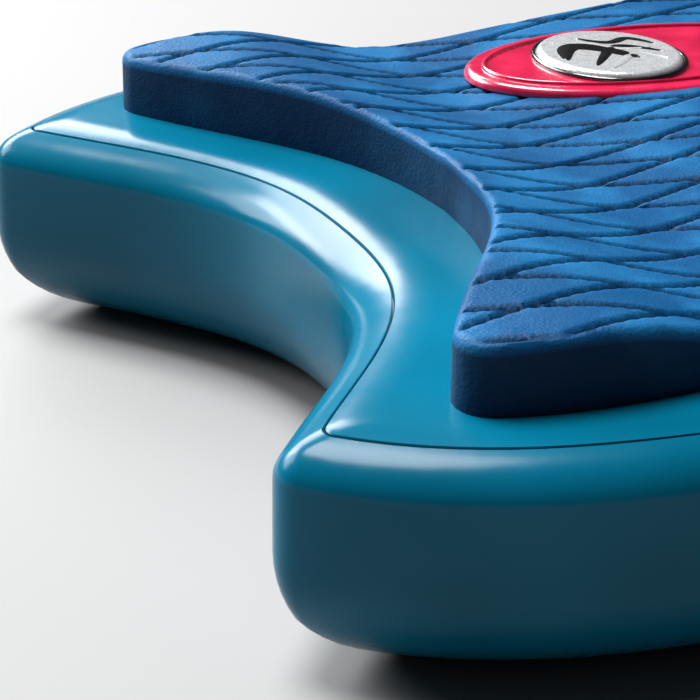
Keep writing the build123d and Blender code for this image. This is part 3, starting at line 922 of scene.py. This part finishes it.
# Y of the bands' feet, at the end plates
PLATE_Y = 0.26205
SLEEVE_LOW, SLEEVE_HALF, SLEEVE_THICK, SLEEVE_GIRTH = 0.158, 0.050, 0.014, 0.21
# The sewn channels pull the sleeve in by a share of its thickness and of its width.
CHANNEL_WIDTH, CHANNEL_PULL, CHANNEL_TUCK = 0.0045, 0.42, 0.02
END_TAPER = 0.012
# Piping: its place as a share of the half width, its width, and its dip as a share of the height
PIPING_AT, PIPING_WIDTH, PIPING_DIP = 0.86, 0.0028, 0.35
# Seams: their place as a share of the half width, and their height above the sleeve's middle
SEAM_AT, SEAM_LIFT = 0.865, 0.0029
STITCH_LONG, STITCH_THICK = 0.0036, 0.0007
TACK_LEVELS = (0.1025, 0.1075, 0.1275, 0.1325)
TACK_HALF, TACK_STEP, TACK_OUT = 0.021, 0.0042, 0.0024


def sleeve_path(step):
    """Points and outward normals in the YZ plane along the sleeve's middle, and the travel."""
    lean = (PLATE_Y - STRAP_SHOULDER) / (STRAP_TOP - STRAP_LOW)
    foot = np.array([PLATE_Y - lean * (SLEEVE_LOW - STRAP_LOW), SLEEVE_LOW])
    corner = np.array([STRAP_SHOULDER, STRAP_TOP])
    way = (corner - foot) / np.linalg.norm(corner - foot)
    turn = np.arccos(np.clip(way @ np.array([-1, 0]), -1, 1))
    reach = ARCH_RADIUS * np.tan(turn / 2)
    start, end = corner - way * reach, corner + np.array([-reach, 0])
    centre = end - np.array([0, ARCH_RADIUS])
    points = [foot + (start - foot) * t for t in np.linspace(0, 1, 10)[:-1]]
    angles = np.linspace(np.arctan2(*(start - centre)[::-1]), pi / 2, 26)
    points += [centre + ARCH_RADIUS * np.array([cos(a), sin(a)]) for a in angles]
    right = np.array(points)
    path = np.concatenate([right, (right * np.array([-1, 1]))[::-1]])
    travel = np.concatenate([[0], np.cumsum(np.linalg.norm(np.diff(path, axis=0), axis=1))])
    even = np.linspace(0, travel[-1], max(2, int(travel[-1] / step)))
    path = np.stack([np.interp(even, travel, path[:, i]) for i in (0, 1)], 1)
    ways = np.gradient(path, axis=0)
    ways /= np.linalg.norm(ways, axis=1)[:, None]
    normals = np.stack([ways[:, 1], -ways[:, 0]], 1) * -1
    normals *= np.sign(normals[len(normals) // 2, 1])
    return path - normals * SLEEVE_THICK / 2, normals, even


def sleeve_mesh(settings):
    """Padded sleeve: crowned section, pulled in at the sewn channels and at its ends."""
    path, normals, travel = sleeve_path(0.003)
    around = np.linspace(0, 2 * pi, 49)
    total = travel[-1]
    rings = []
    for spot, normal, s in zip(path, normals, travel):
        phase = (s - total / 2) / settings.quilt
        channel = np.exp(-((phase - round(phase)) * settings.quilt / CHANNEL_WIDTH) ** 2)
        close = min(1.0, 0.25 + min(s, total - s) / END_TAPER) ** 0.5
        thick = SLEEVE_THICK / 2 * (1 - CHANNEL_PULL * channel) * close
        wide = SLEEVE_HALF * (1 - CHANNEL_TUCK * channel) * (0.97 + 0.03 * close)
        across = np.sign(np.cos(around)) * np.abs(np.cos(around)) ** 0.55 * wide
        height = np.sign(np.sin(around)) * np.abs(np.sin(around)) ** 0.8
        away = (np.abs(across) - wide * PIPING_AT) / PIPING_WIDTH
        piping = 1 - PIPING_DIP * np.exp(-away ** 2)
        lift = height * thick * piping
        rings.append(np.stack([STRAP_X + across, spot[0] + normal[0] * lift,
                               spot[1] + normal[1] * lift], 1))
    made = grid("thigh_sleeve", np.array(rings))
    chart = made.data.uv_layers.new(name="surface")
    turns = np.repeat(around[None, :] / (2 * pi) * SLEEVE_GIRTH, len(rings), 0).ravel()
    runs = np.repeat(travel[:, None], len(around), 1).ravel()
    order = np.zeros(len(made.data.loops), int)
    made.data.loops.foreach_get("vertex_index", order)
    chart.data.foreach_set("uv", np.stack([turns[order], runs[order]], 1).ravel())
    for other in [u for u in made.data.uv_layers if u.name != "surface"]:
        made.data.uv_layers.remove(other)
    edit(made, "SELECT")
    bpy.ops.mesh.remove_doubles(threshold=1e-6)
    bpy.ops.mesh.select_all(action="DESELECT")
    bpy.ops.mesh.select_non_manifold(extend=False)
    bpy.ops.mesh.fill_holes(sides=0)
    bpy.ops.object.mode_set(mode="OBJECT")
    return tidy(made, angle=70)


def stitch_row(name, spots, ways, normals):
    """Row of short threads: one rounded stitch copied to every spot."""
    begin()
    bpy.ops.mesh.primitive_uv_sphere_add(segments=6, ring_count=4, radius=1.0)
    one = bpy.context.object
    base = np.array([v.co for v in one.data.vertices])
    base *= np.array([STITCH_LONG, STITCH_THICK, STITCH_THICK]) / 2
    made = []
    for spot, way, normal in zip(spots, ways, normals):
        side = np.cross(normal, way)
        copy = one.copy()
        copy.data = one.data.copy()
        bpy.context.scene.collection.objects.link(copy)
        turned = spot + base @ np.array([way, side, normal])
        copy.data.vertices.foreach_set("co", turned.ravel().astype(np.float32))
        made.append(copy)
    bpy.data.objects.remove(one)
    return tidy(join(name, made), doubles=0)


class KNEEBOARD_OT_strap(bpy.types.Operator):
    """Build the padded thigh sleeve and its seams, and finish the webbing and tape"""
    bl_idname = "kneeboard.strap"
    bl_label = "Thigh strap"

    def execute(self, context):
        settings = context.scene.kneeboard_strap
        sleeve = sleeve_mesh(settings)
        cover = knitted_cover("knitted_nylon_cover", list(settings.sleeve))
        finish_piece(sleeve, "strap", "strap_sleeve", cover, "strap_sleeve")
        self.seams(settings)
        web = woven_polyester("woven_polyester_webbing", list(settings.webbing))
        coat(web, "strap_webbing_left", "strap_webbing_right", "carry_handle")
        coat(hook_and_loop("loop_pile_tape", linear("#2B2D31"), 0.0009), "loop_patch")
        coat(hook_and_loop("hook_tape", linear("#17181A"), 0.0016), "hook_patch")
        return {"FINISHED"}

    def seams(self, settings):
        """Thread along both long edges of the sleeve and at the strap ends."""
        path, normals, _ = sleeve_path(settings.stitch)
        ways = np.gradient(path, axis=0)
        ways /= np.linalg.norm(ways, axis=1)[:, None]
        inner = slice(2, len(path) - 2)
        rows = []
        for side in (-1, 1):
            for face in (1, -1):
                x = np.full(len(path), STRAP_X + side * SLEEVE_HALF * SEAM_AT)
                spots = np.c_[x, path + normals * (SEAM_LIFT * face)][inner]
                flat = np.c_[np.zeros(len(path)), ways][inner]
                up = np.c_[np.zeros(len(path)), normals * face][inner]
                rows.append(stitch_row("sleeve_seams", spots, flat, up))
        thread = woven_polyester("bonded_thread", list(settings.thread), 0.0008, 0.0008)
        finish_piece(join("sleeve_seams", rows), "strap", "strap_sleeve", thread)
        rows = []
        for sign in (-1, 1):
            top = UPPER_TOP if sign > 0 else STRAP_TOP
            lean = (PLATE_Y - STRAP_SHOULDER) / (top - STRAP_LOW)
            for level in TACK_LEVELS:
                y = PLATE_Y - lean * (level - STRAP_LOW) + TACK_OUT
                x = np.arange(STRAP_X - TACK_HALF, STRAP_X + TACK_HALF + 0.0001, TACK_STEP)
                spots = np.c_[x, np.full(len(x), sign * y), np.full(len(x), level)]
                across = np.tile([1.0, 0.0, 0.0], (len(x), 1))
                out = np.tile([0.0, float(sign), 0.0], (len(x), 1))
                rows.append(stitch_row("bar_tacks", spots, across, out))
        finish_piece(join("bar_tacks", rows), "strap", "strap_webbing_left", thread)


# ---- fittings

class KNEEBOARD_OT_fittings(bpy.types.Operator):
    """Finish the hook, handle caps, pivots, screws, vent and foam core"""
    bl_idname = "kneeboard.fittings"
    bl_label = "Fittings"

    def execute(self, context):
        coat(brushed_metal("brushed_stainless_steel", linear("#B9BBBD"), (1, 1, 25)),
             "strap_end_plates", "side_washers")
        coat(brushed_metal("turned_stainless_steel", linear("#C6C8CA"), (12, 12, 12), 0.14, 0.26),
             "side_bolts", "handle_screws", "tow_hook_screws")
        coat(brushed_metal("machined_brass", linear("#B8935A"), (8, 8, 8)),
             "side_inserts", "nose_inserts")
        coat(grained_plastic("glass_filled_nylon", linear("#17191C")),
             "tow_hook", "handle_caps", "vent_collar")
        coat(grained_plastic("acetal", linear("#1E2023"), 0.002, 0.25, 0.35), "side_bushes")
        coat(grained_plastic("red_polypropylene", linear("#B3132F"), 0.0012, 0.3, 0.42),
             "vent_plug", "pull_tab")
        coat(grained_plastic("nitrile_rubber", linear("#101113"), 0.0015, 0.5, 0.65), "vent_ring")
        coat(grained_plastic("expanded_polystyrene", linear("#EDE9DC"), 0.004, 0.75, 0.9),
             "foam_core")
        return {"FINISHED"}


# ---- stage

# The camera looks at TARGET from VIEW = (azimuth, elevation, roll) in degrees, DISTANCE away.
TARGET = Vector((-0.5269, 0.0625, 0.0))
VIEW = (-23.45, 23.3, 0.8)
DISTANCE = 0.8452
LENS = 120.1
# The two softboxes, each with its place and its width and height, are aimed at TAIL.
TAIL = Vector((-0.5, 0.0, 0.05))
KEY_SPOT, KEY_SIZE = (-1.8, 1.5, 1.2), (1.4, 1.1)
BACK_SPOT, BACK_SIZE = (-0.95, 2.5, 1.55), (2.2, 1.1)
# Tilt of the light from overhead and the angle that its source fills, in degrees
OVERHEAD_TILT, OVERHEAD_SPREAD = (-14, -8, 0), 30
FLOOR_SIZE = 14


def area_light(name, spot, size, power):
    """Rectangular softbox of white light aimed at the tail."""
    begin()
    bpy.ops.object.light_add(type="AREA", location=spot)
    made = bpy.context.object
    made.name = name
    made.data.shape = "RECTANGLE"
    made.data.size, made.data.size_y = size
    made.data.energy = power
    aim = TAIL - Vector(spot)
    made.rotation_euler = aim.to_track_quat("-Z", "Y").to_euler()


class KNEEBOARD_OT_stage(bpy.types.Operator):
    """Lay the pale floor and set the camera and soft lights"""
    bl_idname = "kneeboard.stage"
    bl_label = "Stage"

    def execute(self, context):
        settings = context.scene.kneeboard_stage
        begin()
        bpy.ops.mesh.primitive_plane_add(size=FLOOR_SIZE)
        floor = context.object
        floor.name = "studio_floor"
        floor.data.materials.append(studio_floor())
        begin()
        bpy.ops.object.camera_add()
        camera = context.object
        turn, tilt, roll = [radians(a) for a in VIEW]
        back = Vector((sin(turn) * cos(tilt), -cos(turn) * cos(tilt), sin(tilt)))
        right = Vector((cos(turn), sin(turn), 0))
        up = back.cross(right)
        right, up = right * cos(roll) + up * sin(roll), up * cos(roll) - right * sin(roll)
        turned = Matrix((right, up, back)).transposed().to_4x4()
        camera.matrix_world = Matrix.Translation(TARGET + back * DISTANCE) @ turned
        camera.data.lens = LENS
        context.scene.camera = camera
        area_light("key", KEY_SPOT, KEY_SIZE, settings.key)
        area_light("back", BACK_SPOT, BACK_SIZE, settings.back)
        begin()
        bpy.ops.object.light_add(type="SUN", location=(-0.3, 0.4, 3.0))
        overhead = context.object
        overhead.name = "overhead"
        overhead.data.energy = settings.top
        overhead.data.angle = radians(OVERHEAD_SPREAD)
        overhead.rotation_euler = [radians(a) for a in OVERHEAD_TILT]
        world = bpy.data.worlds.new("studio_air")
        world.use_nodes = True
        air = world.node_tree.nodes["Background"]
        air.inputs["Color"].default_value = (1, 1, 1, 1)
        air.inputs["Strength"].default_value = settings.fill
        context.scene.world = world
        context.scene.view_settings.view_transform = "Standard"
        return {"FINISHED"}


STEPS = (
    KNEEBOARD_OT_shell, KNEEBOARD_OT_pad, KNEEBOARD_OT_badges, KNEEBOARD_OT_strap,
    KNEEBOARD_OT_fittings, KNEEBOARD_OT_stage,
)


class KNEEBOARD_PT_panel(bpy.types.Panel):
    """Sizes, colours and build steps of the kneeboard"""
    bl_idname = "KNEEBOARD_PT_panel"
    bl_label = "Kneeboard"
    bl_space_type = "VIEW_3D"
    bl_region_type = "UI"
    bl_category = "Kneeboard"

    def draw(self, context):
        for name, group in SETTINGS.items():
            box = self.layout.box()
            box.label(text=group.__doc__)
            for field in group.__annotations__:
                box.prop(getattr(context.scene, name), field)
        for step in STEPS:
            self.layout.operator(step.bl_idname)


def register():
    for name, group in SETTINGS.items():
        bpy.utils.register_class(group)
        setattr(bpy.types.Scene, name, bpy.props.PointerProperty(type=group))
    for step in STEPS + (KNEEBOARD_PT_panel,):
        bpy.utils.register_class(step)


def unregister():
    for step in (KNEEBOARD_PT_panel,) + STEPS[::-1]:
        bpy.utils.unregister_class(step)
    for name, group in SETTINGS.items():
        delattr(bpy.types.Scene, name)
        bpy.utils.unregister_class(group)


def main():
    """Registers the add-on and builds every piece in order."""
    register()
    for step in STEPS:
        getattr(bpy.ops.kneeboard, step.bl_idname.split(".")[1])()
    begin()


if __name__ == "__main__":
    main()
